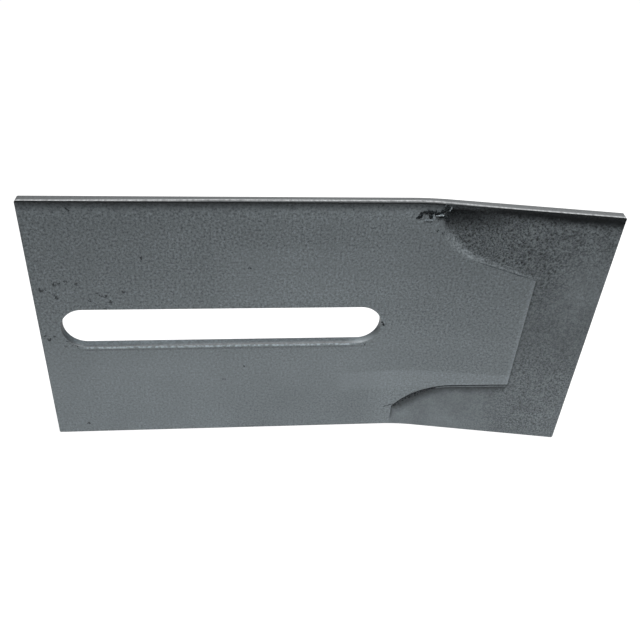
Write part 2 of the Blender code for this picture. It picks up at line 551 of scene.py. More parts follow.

# %% [markdown]
# Soot, painted shade and bare fillets
#
# Soot from the torch, deepened by painted shade, darkens the layer beside the fold, where the
# melt began, under the upper rim and along the lower flank; painted shade alone darkens it beside
# the pocket's stop, beside the tongue's end and in the crack. The fillet on the upper flank is
# plain steel again. Both are worked out for every point and kept as attributes, which the finish
# reads later.

# %% Mark the soot with its painted shade, and the bare places
# where soot deepened by painted shade darkens the layer
SHADE_AND_SOOT_CENTRE, SHADE_AND_SOOT_REACH = (112.0, 79.0), (21.0, 7.6)
RIM_SHADE_AND_SOOT, RIM_CLEAR = 1.1, 4.2
STOP_SHADE_WIDTH = 1.1


def keep_share(obj, name, values):
    """Stores one number for each point of the piece."""
    obj.data.attributes.new(name, "FLOAT", "POINT").data.foreach_set("value", values)


s, z = flat[:, 0], flat[:, 2]
torn = np.array([noise.noise(Vector(point) / 0.8) for point in flat])

# soot and painted shade beside the fold and under the upper rim
reach = np.hypot((s - SHADE_AND_SOOT_CENTRE[0]) / SHADE_AND_SOOT_REACH[0], (z - SHADE_AND_SOOT_CENTRE[1]) / SHADE_AND_SOOT_REACH[1])
fold_shade_and_soot = 0.84 * smooth(1.35 - reach) * (1.0 - 0.28 * smooth((z - 77.8) / 1.2))
rim_width = RIM_SHADE_AND_SOOT + 0.7 * smooth((s - 135.0) / 15.0) - 0.5 * torn
rim = 1.0 - smooth((HEIGHT - z - rim_width) / (RIM_CLEAR - RIM_SHADE_AND_SOOT))
rim *= 1.0 - 0.12 * smooth((z - 78.6) / 1.0)
rim *= 0.55 + 0.45 * smooth((s - 117.0) / 12.0)
past_stop = smooth((s - upper_stop - 0.9 + 1.2 * torn) / 1.0)
upper_shade_and_soot = np.maximum(fold_shade_and_soot, rim) * past_stop

# soot and painted shade below the lower flank's step
below = distance_to(lower_flank, s, z)
flank_share = np.interp(s, [106, 108, 117, 122, 140.5, 141], [0.55, 0.72, 0.70, 0.64, 0.60, 0.0])
flank_width = np.interp(s, [106, 110, 117, 122], [0.4, 1.8, 1.3, 0.7])
flank_fade = np.interp(s, [106, 109, 112], [2.0, 3.2, 3.8])
flank_shade_and_soot = 1.0 - smooth((below - flank_width + 0.5 * torn) / flank_fade)
flank_shade_and_soot *= flank_share * (z < 30.0)
# painted shade beside the pocket's stop
painted_stop_shade = 1.0 - smooth((s - lower_stop - 0.2) / STOP_SHADE_WIDTH)
painted_stop_shade *= 0.55 * smooth((z - 0.8) / 3.5) * (z < 12.0)
# painted shade beside the tongue's end
beside_end = distance_to([upper_flank[0], lower_flank[0]], s, z)
painted_end_shade = 0.4 * (1.0 - smooth(beside_end / 1.0))
# painted shade in the crack
painted_crack_shade = 0.42 * upper_crack(s, z)

shade_and_soot = np.maximum.reduce([upper_shade_and_soot, flank_shade_and_soot, painted_stop_shade, painted_end_shade, painted_crack_shade])
bare = (1.0 - smooth(near_upper_flank(s, z) / 1.1)) * (1.0 - 0.4 * smooth((s - 119.0) / 9.0))
keep_share(layer, "shade_and_soot", shade_and_soot)
keep_share(layer, "bare", bare)
print("shaded_and_sooty points:", int((shade_and_soot > 0.5).sum()), "bare points:", int((bare > 0.5).sum()))

# %% [markdown]
# Which faces were cut
#
# The cut walls look different from the rolled faces, so they get a material slot of their own.
# It is easiest to tell them apart now, while every wall still stands square to the plate.

# %% Tell the cut walls from the faces
WALL_REACH = 0.2


def is_cut_wall(face):
    """True on the walls that the shear or the slot's punch left."""
    place = on_pattern(face.center)
    inward = min(place.x, LENGTH - place.x, place.z, HEIGHT - place.z)
    inward = min(inward, abs(slot_distance(place.x, place.z)))
    return abs(face.normal.y) < 0.5 and inward < WALL_REACH


for piece in (blade, layer):
    piece.data.materials.clear()
    for i in range(2):
        piece.data.materials.append(None)
    for face in piece.data.polygons:
        face.material_index = int(is_cut_wall(face))
    print(piece.name, "cut faces:", sum(face.material_index for face in piece.data.polygons))

# %% [markdown]
# The fold
#
# The tip is folded ten degrees towards the front on a gentle bow. Simple Deform bends a
# stretch of a mesh and carries what lies beyond it along straight, as a press brake does. It
# measures a mesh from end to end, so two loose points mark the blank's ends meanwhile. Each
# point first keeps its flat place as an attribute, so the finishes follow the steel round the bow.

# %% Fold the tip
FOLD_LINE, FOLD_ANGLE, FOLD_RADIUS = 108.5, math.radians(10.0), 60.0


def keep_flat_place(obj):
    """Stores where each point lies on the flat pattern, in millimetres."""
    places = np.array([on_pattern(vert.co) for vert in obj.data.vertices])
    kept = obj.data.attributes.new("flat_place", "FLOAT_VECTOR", "POINT")
    kept.data.foreach_set("vector", places.astype(np.float32).ravel())


def fold_tip(obj):
    keep_flat_place(obj)
    count = len(obj.data.vertices)
    obj.data.vertices.add(2)
    obj.data.vertices[count].co = spot(0, 0, 0)
    obj.data.vertices[count + 1].co = spot(LENGTH, 0, 0)
    width = FOLD_RADIUS * FOLD_ANGLE
    start = FOLD_LINE - width / 2
    hinge = bpy.data.objects.new("fold_hinge", None)
    hinge.location = spot(start, 0, 0)
    bpy.context.collection.objects.link(hinge)
    bend = obj.modifiers.new("fold", "SIMPLE_DEFORM")
    bend.deform_method = "BEND"
    bend.deform_axis = "Z"
    bend.angle = -FOLD_ANGLE
    bend.limits = (start / LENGTH, (start + width) / LENGTH)
    bend.origin = hinge
    bpy.context.view_layer.update()
    apply_last(obj)
    bpy.data.objects.remove(hinge)
    pick(obj, "VERT", lambda vert: not vert.link_edges)
    bpy.ops.mesh.delete(type="VERT")
    leave()


for piece in (blade, layer):
    fold_tip(piece)
    corners = np.array([vert.co for vert in piece.data.vertices])
    print(piece.name, "folded:", corners.min(axis=0) / MM, corners.max(axis=0) / MM)

# %% [markdown]
# Lumps
#
# Slag, beads and flecks are all small lumps. One lump is modelled from a ball roughened by
# noise, and everything else is made of its copies in many sizes and turns.

# %% Model one lump
random.seed(7)

let_go()
bpy.ops.mesh.primitive_ico_sphere_add(subdivisions=2, radius=1.0)
lump = bpy.context.object
lump.name = "lump"
rough = bpy.data.textures.new("lump_noise", "CLOUDS")
rough.noise_scale = 0.8
roughen = lump.modifiers.new("roughen", "DISPLACE")
roughen.texture = rough
roughen.strength = 0.7
roughen.mid_level = 0.5
apply_last(lump)
print("lump:", len(lump.data.polygons), "faces")

# %% [markdown]
# The slag lap
#
# Where the melt first touched the plate it left a ragged lap of dark slag beside the fold. It
# is a crooked line of overlapping lumps, so a few short paths say where it runs, each with
# the spread of its lumps. All the copies are joined into one piece and folded with the plate.

# %% Lay the slag lap
FLAT_LUMP = 0.45
LAP_DEPTH, LAP_TOP, LAP_PER_MM = 0.06, 79.2, 5.0
LAP_PATHS = [
    (0.38, [(105.9, 76.8), (108.2, 77.1), (110.6, 77.0)]),
    (0.25, [(110.6, 77.0), (111.6, 77.5), (112.4, 78.4), (112.7, 79.2)]),
    (0.12, [(105.0, 75.4), (106.4, 76.2)]),
    (0.18, [(108.3, 76.2), (109.1, 75.6)]),
    (0.25, [(111.0, 75.9), (112.8, 76.0)]),
    (0.45, [(113.0, 78.3), (113.4, 77.0), (113.3, 75.4), (113.8, 74.6)]),
]


def scatter(name, lumps, flatness=FLAT_LUMP):
    """Copies of the lump at (s, d, z, width, height) on the pattern, joined into one piece."""
    copies = []
    for s, d, z, width, height in lumps:
        copy = lump.copy()
        copy.data = lump.data.copy()
        bpy.context.collection.objects.link(copy)
        copy.location = spot(s, d, z)
        copy.rotation_euler = (0.0, random.uniform(-math.pi, math.pi), 0.0)
        copy.scale = (width * MM, flatness * min(width, height) * MM, height * MM)
        copies.append(copy)
    take(copies[0])
    for copy in copies:
        copy.select_set(True)
    bpy.ops.object.join()
    bpy.ops.object.transform_apply(location=True, rotation=True, scale=True)
    piece = bpy.context.object
    piece.name = name
    fold_tip(piece)
    print(name, "has", len(lumps), "lumps")
    return piece


lap = []
for spread, path in LAP_PATHS:
    for (s0, z0), (s1, z1) in zip(path, path[1:]):
        count = int(LAP_PER_MM * math.hypot(s1 - s0, z1 - z0))
        for i in range(count):
            part = (i + random.random()) / count
            s = s0 + (s1 - s0) * part + random.uniform(-0.2, 0.2)
            z = z0 + (z1 - z0) * part + random.uniform(-spread, spread)
            width = random.uniform(0.22, 0.6)
            height = random.uniform(0.2, 0.42)
            lap.append((s, LAP_DEPTH, min(z, LAP_TOP), width, height))
slag = scatter("slag_lap", lap)

# %% [markdown]
# The fusion beads
#
# Along the arc of the lower flank the melt froze into a chain of small beads, which lie on the
# sagged surface. A few more sit at the start of the upper arm, beside the lower arm's stop and
# at the slot's end, where drops of it flew.

# %% Lay the fusion beads
BEADS_PER_STEP, BEADS_ABOVE = 8, 14


def mark(places, start, end, count, width):
    """Adds a row of flat lumps from one point of the face to another."""
    for i in range(count):
        part = i / (count - 1)
        s, z = [a + (b - a) * part + random.uniform(-0.4, 0.4) * width for a, b in zip(start, end)]
        places.append((s, 0.0, z, width * random.uniform(0.6, 1.2), 0.6 * width))


beads = []
for s0, z0 in lower_flank[4:]:
    width = np.interp(s0, [106, 110, 118, 121], [1.0, 1.9, 1.2, 0.4])
    for i in range(BEADS_PER_STEP):
        size = random.uniform(0.15, 0.4)
        s = s0 + random.uniform(-0.6, 0.6)
        z = z0 - random.uniform(0.1, 1.0) * width
        beads.append((s, drop_at(s, z), z, size, 0.8 * size))
for i in range(BEADS_ABOVE):
    size = random.uniform(0.12, 0.22)
    z = 75.6 - 4.5 * random.random() ** 2
    beads.append((random.uniform(110.8, 113.2), 0.0, z, size, size))
mark(beads, (103.6, 7.4), (106.4, 8.6), 12, 0.22)
mark(beads, (99.1, 41.3), (99.9, 39.9), 9, 0.32)
fusion = scatter("fusion_beads", beads)

# %% [markdown]
# Bright flecks
#
# Between the slag a few flecks of clean metal catch the light. They are rounder than the slag
# and stand a little in front of the face, so they show on top of it and still touch the plate.

# %% Sprinkle the bright flecks
FLECK_STAND, FLECK_ROUND = 0.1, 1.4

flecks = []
mark(flecks, (113.8, 79.0), (113.4, 78.0), 6, 0.22)
mark(flecks, (110.1, 76.3), (111.9, 76.45), 7, 0.25)
mark(flecks, (107.2, 74.8), (109.1, 74.9), 6, 0.2)
mark(flecks, (109.4, 76.4), (109.3, 75.2), 6, 0.16)
mark(flecks, (99.4, 41.7), (100.1, 40.8), 3, 0.18)
flecks = [(s, d - FLECK_STAND, z, width, height) for s, d, z, width, height in flecks]
spatter = scatter("bright_flecks", flecks, FLECK_ROUND)
bpy.data.objects.remove(lump)

# %% [markdown]
# The thin bead
#
# Along the straight part of the lower flank the melt ended in a thin bead, with a narrow groove
# between it and the tongue. A bead has one section all along, so it is a bevelled curve with
# closed ends, turned into a mesh and roughened a little.

# %% Lay the thin bead
BEAD_OFFSET, BEAD_RADIUS, BEAD_STEPS = 0.75, 0.2, 120
BEAD_END = TONGUE_END - 0.4

flare = LOWER_FLANK[1]
bead_points = [(s, z - BEAD_OFFSET / math.cos(flare)) for s, z in lower_flank[:8]]
bead_start = bead_points[-1][0]
bead_curve = bpy.data.curves.new("flank_bead", "CURVE")
bead_curve.dimensions = "3D"
bead_curve.bevel_depth = BEAD_RADIUS * MM
bead_curve.use_fill_caps = True
spline = bead_curve.splines.new("POLY")
spline.points.add(BEAD_STEPS)
for i in range(BEAD_STEPS + 1):
    s = bead_start + (BEAD_END - bead_start) * i / BEAD_STEPS
    z = np.interp(s, *np.array(bead_points[::-1]).T)
    spline.points[i].co = (*spot(s, drop_at(s, z), z), 1.0)
bead = bpy.data.objects.new("flank_bead", bead_curve)
bpy.context.collection.objects.link(bead)
take(bead)
bpy.ops.object.convert(target="MESH")
bead = bpy.context.object
tidy_mesh(bead, 0.001)
roughen = bead.modifiers.new("roughen", "DISPLACE")
rough.noise_scale = 0.5 * MM
roughen.texture = rough
roughen.strength = 0.15 * MM
apply_last(bead)
fold_tip(bead)
print("flank bead:", len(bead.data.polygons), "faces")

# %% [markdown]
# Shading
#
# Smooth shading within an angle keeps the bow and the slot's ends round and the sheared
# corners crisp.

# %% Shade the pieces
pieces = (blade, layer, slag, fusion, spatter, bead)
for piece in pieces:
    take(piece)
    bpy.ops.object.shade_smooth_by_angle(angle=math.radians(35.0))
    print(piece.name, sum(len(face.vertices) - 2 for face in piece.data.polygons), "triangles")

# %% [markdown]
# A small kit for finishes
#
# A finish is a web of nodes. These helpers add one node each and hand back its output, so a
# finish reads as a list of what it is made of. Everything is placed by the flat pattern that the
# points kept, in millimetres, so a size in a finish is a size on the plate.

# %% Node helpers


class Finish:
    """A material under construction, with one method for each kind of node it needs."""

    def __init__(self, name, metallic, roughness):
        self.material = bpy.data.materials.new(name)
        self.material.use_nodes = True
        self.nodes = self.material.node_tree.nodes
        self.place = self.kept("flat_place").outputs["Vector"]
        self.axes = dict(zip("sdz", self.node("SeparateXYZ", Vector=self.place).outputs))
        self.feed("Metallic", metallic)
        self.feed("Roughness", roughness)

    def plug(self, value, socket):
        """Feeds a socket from another node's output, or sets it to a plain value."""
        if isinstance(value, bpy.types.NodeSocket):
            self.material.node_tree.links.new(value, socket)
        else:
            socket.default_value = value

    def feed(self, name, value):
        """Feeds one input of the surface itself."""
        self.plug(value, self.nodes["Principled BSDF"].inputs[name])

    def node(self, kind, **values):
        """Adds a node and fills its inputs by name."""
        node = self.nodes.new("ShaderNode" + kind)
        for name, value in values.items():
            self.plug(value, node.inputs[name])
        return node

    def kept(self, name):
        """Reads what the piece's points keep under this name."""
        node = self.node("Attribute")
        node.attribute_name = name
        return node

    def share(self, name):
        return self.kept(name).outputs["Fac"]

    def grain(self, scale, detail=3.0, roughness=0.6, place=None):
        """Noise with this many grains to a millimetre."""
        place = place or self.place
        node = self.node("TexNoise", Scale=scale, Detail=detail, Roughness=roughness, Vector=place)
        return node.outputs["Fac"]

    def remap(self, value, low, high, to_low=0.0, to_high=1.0, smoothly=False):
        """Turns the stretch from low to high into another one, and stops at its ends."""
        node = self.node("MapRange")
        node.interpolation_type = "SMOOTHSTEP" if smoothly else "LINEAR"
        for socket, number in zip(node.inputs, (value, low, high, to_low, to_high)):
            self.plug(number, socket)
        return node.outputs[0]

    def ramp(self, letter, *stretch):
        """The same along one axis of the pattern: s, d or z."""
        return self.remap(self.axes[letter], *stretch)

    def sums(self, kind, operation, *values):
        """A node that works on numbers (Math) or on places (VectorMath)."""
        node = self.node(kind)
        node.operation = operation
        for value, socket in zip(values, node.inputs):
            self.plug(value, socket)
        return node.outputs

    def maths(self, operation, *values):
        return self.sums("Math", operation, *values)[0]

    def times(self, first, *others):
        """The product of all these."""
        for other in others:
            first = self.maths("MULTIPLY", first, other)
        return first

    def stretched(self, *scales):
        """The pattern scaled along its axes, for streaks."""
        return self.sums("VectorMath", "MULTIPLY", self.place, scales)["Vector"]

    def distance(self, place, s, z):
        """How far each place is from one point of the face."""
        return self.sums("VectorMath", "DISTANCE", place, (s, 0.0, z))["Value"]

    def blend(self, share, first, second, mode="MIX"):
        node = self.node("Mix")
        node.data_type = "RGBA"
        node.blend_type = mode
        for value, number in ((share, 0), (first, 6), (second, 7)):
            self.plug(value, node.inputs[number])
        return node.outputs[2]

    def relief(self, height, depth, strength):
        """Bump of this depth in millimetres."""
        bump = self.node("Bump", Strength=strength, Distance=depth * MM, Height=height)
        self.feed("Normal", bump.outputs[0])


def grey(level, cast=1.0):
    """A neutral level with the steel's faint blue-green cast."""
    return (level * (1.0 - 0.11 * cast), level, level * (1.0 + 0.06 * cast), 1.0)


# %% [markdown]
# Raw steel
#
# Rolled plate is matt and mottled, with a grain about two thirds of a millimetre across and a
# few broader clouds from the rolling oil. One noise gives the grain, its roughness and a
# slight relief, so light and dark grains differ in shine as well as in tone.

# %% Mix the mottled grey
STEEL_GRAIN, CLOUD_GRAIN = 1.5, 0.09

steel = Finish("raw_rolled_steel", 0.35, 0.6)
mottle = steel.grain(STEEL_GRAIN, 3.0, 0.8)
clouds = steel.grain(CLOUD_GRAIN, 3.0, 0.55)
upper_strength = steel.ramp("z", 20.0, 50.0, 0.75, 1.2)
fold_strength = steel.ramp("s", 88.0, 112.0, 0.75, 1.1)
strength = steel.maths("MAXIMUM", upper_strength, fold_strength)
strength = steel.times(strength, steel.ramp("s", 90.0, 108.0, 1.0, 0.94))
contrast = steel.times(steel.maths("SUBTRACT", mottle, 0.5), strength)
tone = steel.blend(steel.remap(contrast, -0.21, 0.21), grey(0.165), grey(0.695))
tone = steel.blend(steel.remap(clouds, 0.35, 0.65, 0.0, 0.25), tone, grey(0.33))
steel.feed("Roughness", steel.remap(mottle, 0.3, 0.7, 0.55, 0.7))
steel.relief(mottle, 0.03, 0.6)
print("mottled grey:", len(steel.nodes), "nodes")

# %% [markdown]
# No plate is evenly grey. Below the slot the face is painted lighter, as painted light thrown up
# from the table, and under the upper edge a band of painted shade lies where the burr shades the
# face. Ramps along the pattern's axes say where, and the grain itself frays the edge of the shade.

# %% Paint light on the lower half and shade under the upper edge
# painted light: the lower half lighter, as if lit from the table below
painted_bounce_light = steel.times(
    steel.ramp("z", 44.0, 28.0, 0.0, 0.14, True),
    steel.ramp("z", 8.0, 26.0, 0.22, 1.0),
    steel.ramp("s", 112.0, 130.0, 1.0, 0.42),
)
upper_end = steel.times(steel.ramp("s", 75.0, 100.0), steel.ramp("z", 38.0, 50.0), 0.04)
tone = steel.blend(steel.maths("MAXIMUM", painted_bounce_light, upper_end), tone, grey(0.62))
frayed = steel.maths("ADD", steel.axes["z"], steel.times(mottle, 2.0))
# painted shade: a dark band under the upper burr, frayed by the grain
painted_rim_shade = steel.remap(frayed, 77.7, 80.3, 0.0, 0.6, True)
painted_rim_shade = steel.times(painted_rim_shade, steel.ramp("s", 70.0, 100.0, 1.0, 0.82))
tone = steel.blend(painted_rim_shade, tone, grey(0.06))
# painted shade: a dark line along the face's top edge, under the burr
tone = steel.blend(steel.ramp("z", 79.2, 79.6, 0.0, 0.75), tone, grey(0.02))
print("with light and grime:", len(steel.nodes), "nodes")

# %% [markdown]
# Faint lighter and darker stretches lie on the front, and one light strip that leans a little
# runs to the tongue. The first darker stretch carries the painted shade under the upper burr
# further down on the left, and the darker one low in the middle takes some of the painted light
# off the lower half. Each is a box with soft edges on the pattern, blended in by a few percent,
# so a table holds them all. The rear face keeps its plain skin.

# %% Add the faint stretches of the front
STRIP_LEAN, LEAN_START = 0.044, 90.0
# amount, grey level, lean, then start, full, last and end along s and across z
ZONES = [
    # painted shade under the upper burr, carried further down on the left
    (0.10, 0.05, 0.0, (-2, -1, 40, 80), (68, 77, 81, 82)),
    (0.08, 0.95, 0.0, (46, 60, 70, 122), (46, 50, 64, 68)),
    (0.04, 0.95, 0.0, (10, 16, 44, 54), (14, 26, 33, 36)),
    # takes some of the painted light off the lower middle
    (0.115, 0.05, 0.0, (45, 62, 95, 104), (-2, -1, 7, 31)),
    (0.08, 0.05, STRIP_LEAN, (92, 104, 142, 143), (21.4, 22.2, 27, 33)),
    (0.092, 0.95, STRIP_LEAN, (86, 90, 142, 143), (13, 16.5, 21.2, 22.4)),
]


def zone(finish, lean, along, across):
    """1 inside a stretch of the pattern, easing to 0 between the outer sizes of each pair."""
    leaned = finish.maths("SUBTRACT", finish.axes["z"], finish.times(finish.axes["s"], lean))
    sides = []
    for place, sizes, shift in ((finish.axes["s"], along, 0.0), (leaned, across, -LEAN_START * lean)):
        start, full, last, end = [size + shift for size in sizes]
        sides.append(finish.remap(place, start, full, 0.0, 1.0, True))
        sides.append(finish.remap(place, end, last, 0.0, 1.0, True))
    return finish.times(*sides)


on_front = steel.ramp("d", 1.0, 1.6, 1.0, 0.0)
for amount, level, lean, along, across in ZONES:
    faint = steel.times(zone(steel, lean, along, across), on_front, amount)
    tone = steel.blend(faint, tone, grey(level))
print("with", len(ZONES), "stretches:", len(steel.nodes), "nodes")

# %% [markdown]
# Dark pits of old scale lie scattered on the plate, most of them near its bolting end.
# Each is given by its place and radius. Warping the pattern with noise before the distance is
# measured makes every pit ragged in its own way. Finer specks lie round the slot's start.

# %% Scatter the pits and specks
PIT_WARP = 2.8
SPECK_CENTRE = (10.0, 47.0)
PITS = [
    (2.4, 53.0, 0.75), (3.3, 53.2, 0.4), (6.1, 55.0, 0.55), (7.6, 55.1, 0.35), (9.5, 55.9, 0.35),
    (11.7, 55.0, 0.5), (12.5, 55.0, 0.4), (5.9, 51.5, 0.45), (6.4, 50.5, 0.5), (4.7, 45.7, 0.35),
    (0.5, 39.8, 0.4), (1.2, 37.4, 0.5), (2.4, 36.4, 0.5), (3.8, 37.3, 0.45), (15.2, 49.5, 0.5),
    (18.2, 51.3, 0.4), (19.0, 51.0, 0.35), (19.7, 50.9, 0.4), (16.9, 48.1, 0.4), (20.8, 49.1, 0.45),
    (24.6, 52.3, 0.5), (19.2, 46.9, 0.4), (12.8, 77.4, 0.5), (30.3, 63.3, 0.4), (9.4, 3.3, 0.5),
    (59.7, 60.1, 0.4), (58.1, 25.2, 0.4), (51.8, 20.2, 0.4), (94.9, 32.8, 0.4), (7.4, 35.6, 0.4),
    (8.4, 34.4, 0.45), (9.8, 33.5, 0.4), (6.6, 34.0, 0.35), (4.3, 52.6, 0.35), (17.6, 52.2, 0.35),
]


def pit_mask(finish, flat_face, pits):
    """1 inside any of the ragged pits, 0 elsewhere."""
    warp = finish.node("TexNoise", Scale=1.4, Vector=finish.place).outputs["Color"]
    warp_size = (PIT_WARP, 0.0, PIT_WARP)
    bent = finish.sums("VectorMath", "MULTIPLY_ADD", warp, warp_size, flat_face)["Vector"]
    mask = 0.0
    for s, z, radius in pits:
        reach = finish.distance(bent, s + PIT_WARP / 2, z + PIT_WARP / 2)
        pit = finish.remap(reach, 0.4 * radius, 1.2 * radius, 1.0, 0.0)
        mask = finish.maths("MAXIMUM", mask, pit)
    return mask


flat_face = steel.stretched(1.0, 0.0, 1.0)
pitted = steel.times(pit_mask(steel, flat_face, PITS), on_front, 0.8)
tone = steel.blend(pitted, tone, grey(0.03))
near_end = steel.remap(steel.distance(flat_face, *SPECK_CENTRE), 8.0, 17.0, 0.75, 0.0)
specks = steel.remap(steel.grain(0.8, 4.0, 0.7), 0.61, 0.68)
speckled = steel.times(specks, on_front, near_end)
print("with", len(PITS), "pits:", len(steel.nodes), "nodes")

# %% [markdown]
# The slot's lower lip carries a painted highlight in beads, with a line of painted shadow
# below it, and the tongue's lower flank and end carry a thin painted highlight along their edge.

# %% Paint a highlight and a shadow on the slot's lip, and highlights on the tongue's edges
# painted highlight in beads along the slot's lower lip
painted_lip_highlight = steel.times(
    steel.ramp("z", 32.6, 32.9),
    steel.ramp("z", 33.7, 33.6),
    steel.ramp("s", 93.0, 90.0),
    steel.ramp("s", 11.0, 13.0),
    on_front,
)
lip_highlight_beads = steel.remap(steel.grain(0.9, 2.0, 0.5), 0.42, 0.58, 0.15, 1.0)
tone = steel.blend(steel.times(painted_lip_highlight, lip_highlight_beads), tone, grey(0.95))
# painted shadow in a line under the slot's lip
painted_lip_shadow = steel.times(
    steel.ramp("z", 31.8, 32.1),
    steel.ramp("z", 32.7, 32.5),
    steel.ramp("s", 96.0, 90.0),
    steel.ramp("s", 8.0, 13.0),
    on_front,
)
tone = steel.blend(steel.times(painted_lip_shadow, 0.3), tone, grey(0.12))
tone = steel.blend(speckled, tone, grey(0.05))
flank_line = steel.ramp("s", 111.0, TONGUE_END, 16.5, LOWER_FLANK[0])
above_line = steel.maths("SUBTRACT", steel.axes["z"], flank_line)
beside_flank = steel.remap(above_line, 0.9, 0.0, 0.0, 0.12, True)
beside_flank = steel.times(beside_flank, steel.ramp("s", 118.0, 124.0))
beside_tip = steel.ramp("s", 139.4, TONGUE_END, 0.0, 0.2, True)
# painted highlight along the tongue's lower flank and its end
painted_edge_highlight = steel.times(steel.maths("MAXIMUM", beside_flank, beside_tip), on_front)
tone = steel.blend(painted_edge_highlight, tone, grey(0.95))
steel.feed("Base Color", tone)
print("raw steel:", len(steel.nodes), "nodes")

# %% [markdown]
# Sheared edges
#
# A sheared wall has two zones. The front part was smeared bright by the knife, and on the upper
# wall a painted highlight makes it brighter still; the rear part broke off and stayed dull and
# rough. Fine streaks run through both, along the stroke. In the plate's middle the front of the
# upper wall is painted dark as shade under the burr, so the bright zone lies a little deeper.

# %% Mix the sheared edge
PAINTED_SHADE_SHIFT = 0.65

sheared = Finish("sheared_edge", 0.3, 0.45)
streaks = sheared.grain(1.0, 3.0, 0.6, sheared.stretched(2.0, 0.3, 2.0))
tear = sheared.grain(0.6, 2.0, 0.5, sheared.stretched(1.0, 0.1, 1.0))
beading = sheared.grain(1.3, 2.0, 0.5, sheared.stretched(1.0, 0.1, 0.0))
middle = sheared.times(sheared.ramp("s", 10.0, 50.0), sheared.ramp("s", 130.0, 108.0))
depth = sheared.maths("SUBTRACT", sheared.axes["d"], sheared.times(middle, PAINTED_SHADE_SHIFT))
# painted shade on the front of the upper wall, in the plate's middle
shaded = sheared.times(middle, sheared.remap(depth, -0.06, 0.19, 1.0, 0.0))
depth = sheared.maths("ADD", depth, sheared.times(tear, 0.6))
upper = sheared.ramp("z", 50.0, 70.0)
# the knife's burnish with a painted highlight, on the upper wall only
burnish_and_highlight = sheared.times(sheared.remap(depth, 0.75, 1.25, 1.0, 0.0, True), upper)
dull_tone = sheared.blend(streaks, grey(0.15, 0.4), grey(0.21, 0.4))
beaded = sheared.maths("ADD", sheared.times(tear, 0.5), sheared.times(beading, 0.5))
bright_tone = sheared.blend(sheared.remap(beaded, 0.37, 0.63), grey(0.26, 0.3), grey(0.65, 0.3))
sheared.relief(streaks, 0.03, 0.5)
print("sheared wall:", len(sheared.nodes), "nodes")

# %% [markdown]
# The slot's wall was punched, not sheared: it carries the punch's chatter and grows lighter
# towards the rear, with painted shade on its front part and at the slot's start, painted light
# at the slot's end and a painted highlight on its front lip. It shares the finish with the outer
# edges, and the height on the plate says which of the two a point belongs to.

# %% Mix the punched wall in
lower = sheared.maths("SUBTRACT", 1.0, upper)
# painted highlight on the front lip of the slot's wall
painted_slot_lip_highlight = sheared.times(sheared.remap(depth, 0.5, 0.8, 0.15, 0.0), lower)
# painted shade: the front of the slot's wall darker than its rear
punched = sheared.blend(sheared.ramp("d", 0.3, 2.8), grey(0.09, 0.6), grey(0.28, 0.6))
chatter = sheared.remap(sheared.grain(1.6, 3.0, 0.65), 0.3, 0.7)
punched = sheared.blend(0.75, punched, sheared.blend(chatter, grey(0.5), grey(1.5)), "MULTIPLY")
punched = sheared.blend(sheared.ramp("s", 35.0, 62.0, 0.0, 0.26), punched, grey(0.01))
# painted shade on the wall at the slot's start
punched = sheared.blend(sheared.ramp("s", 8.0, 14.0, 0.32, 0.0), punched, grey(0.05))
dull_tone = sheared.blend(lower, dull_tone, punched)
# painted light on the wall at the slot's end
painted_slot_end_light = sheared.ramp("s", 88.0, 98.0, 0.0, 1.0, True)
dull_tone = sheared.blend(sheared.times(painted_slot_end_light, lower), dull_tone, grey(0.36))
edge_tone = sheared.blend(sheared.maths("ADD", burnish_and_highlight, painted_slot_lip_highlight), dull_tone, bright_tone)
# painted shade: the front of the upper wall darkened under the burr
edge_tone = sheared.blend(sheared.times(shaded, upper, 0.9), edge_tone, grey(0.04))
sheared.feed("Base Color", edge_tone)
print("sheared edge:", len(sheared.nodes), "nodes")

# %% [markdown]
# The fused alloy
#
# The layer is full of hard grains in a dark matrix, so it looks like coarse sandpaper: dark
# pits and light crests about half a millimetre across, calmer on the lower arm and lighter
# towards the tip's end. The soot with its painted shade and the bare fillet kept on the points
# come last.

# %% Mix the wear layer
ALLOY_GRAIN, PATCH_GRAIN = 1.9, 0.16

alloy = Finish("fused_wear_alloy", 0.3, 0.65)
coarse = alloy.remap(alloy.grain(ALLOY_GRAIN, 4.0, 0.72), 0.36, 0.64)
patches = alloy.grain(PATCH_GRAIN, 3.0, 0.6)
lower_clean = alloy.ramp("z", 70.0, 10.0, 0.0, 1.0, True)
clean = alloy.maths("MAXIMUM", lower_clean, alloy.ramp("s", 138.0, 158.0, 0.0, 0.8, True))
end_strength = alloy.ramp("s", 130.0, 146.0, 0.5, 0.95, True)
strength = alloy.maths("MAXIMUM", end_strength, alloy.ramp("z", 25.0, 45.0))
off_middle = alloy.maths("ABSOLUTE", alloy.maths("SUBTRACT", alloy.axes["z"], 43.0))
strength = alloy.times(strength, alloy.remap(off_middle, 4.0, 18.0, 0.6, 1.0))
grit = alloy.maths("ADD", alloy.times(alloy.maths("SUBTRACT", coarse, 0.5), strength), 0.5)
dirty_tone = alloy.blend(grit, grey(0.045), grey(0.54))
clean_tone = alloy.blend(grit, grey(0.12), grey(0.54))
tone = alloy.blend(clean, dirty_tone, clean_tone)
leg = alloy.times(alloy.ramp("s", 145.0, 125.0), alloy.ramp("z", 26.0, 20.0), 0.3)
tone = alloy.blend(leg, tone, grey(0.52))
end = alloy.times(alloy.ramp("s", 142.0, 154.0), alloy.ramp("z", 43.0, 54.0), 0.36)
end = alloy.times(end, alloy.ramp("z", 72.0, 62.0, 0.1, 1.0))
tone = alloy.blend(end, tone, grey(0.60))
tone = alloy.blend(alloy.remap(patches, 0.4, 0.7, 0.0, 0.24), tone, grey(0.12))
tone = alloy.blend(alloy.share("bare"), tone, alloy.blend(coarse, grey(0.25), grey(0.52)))
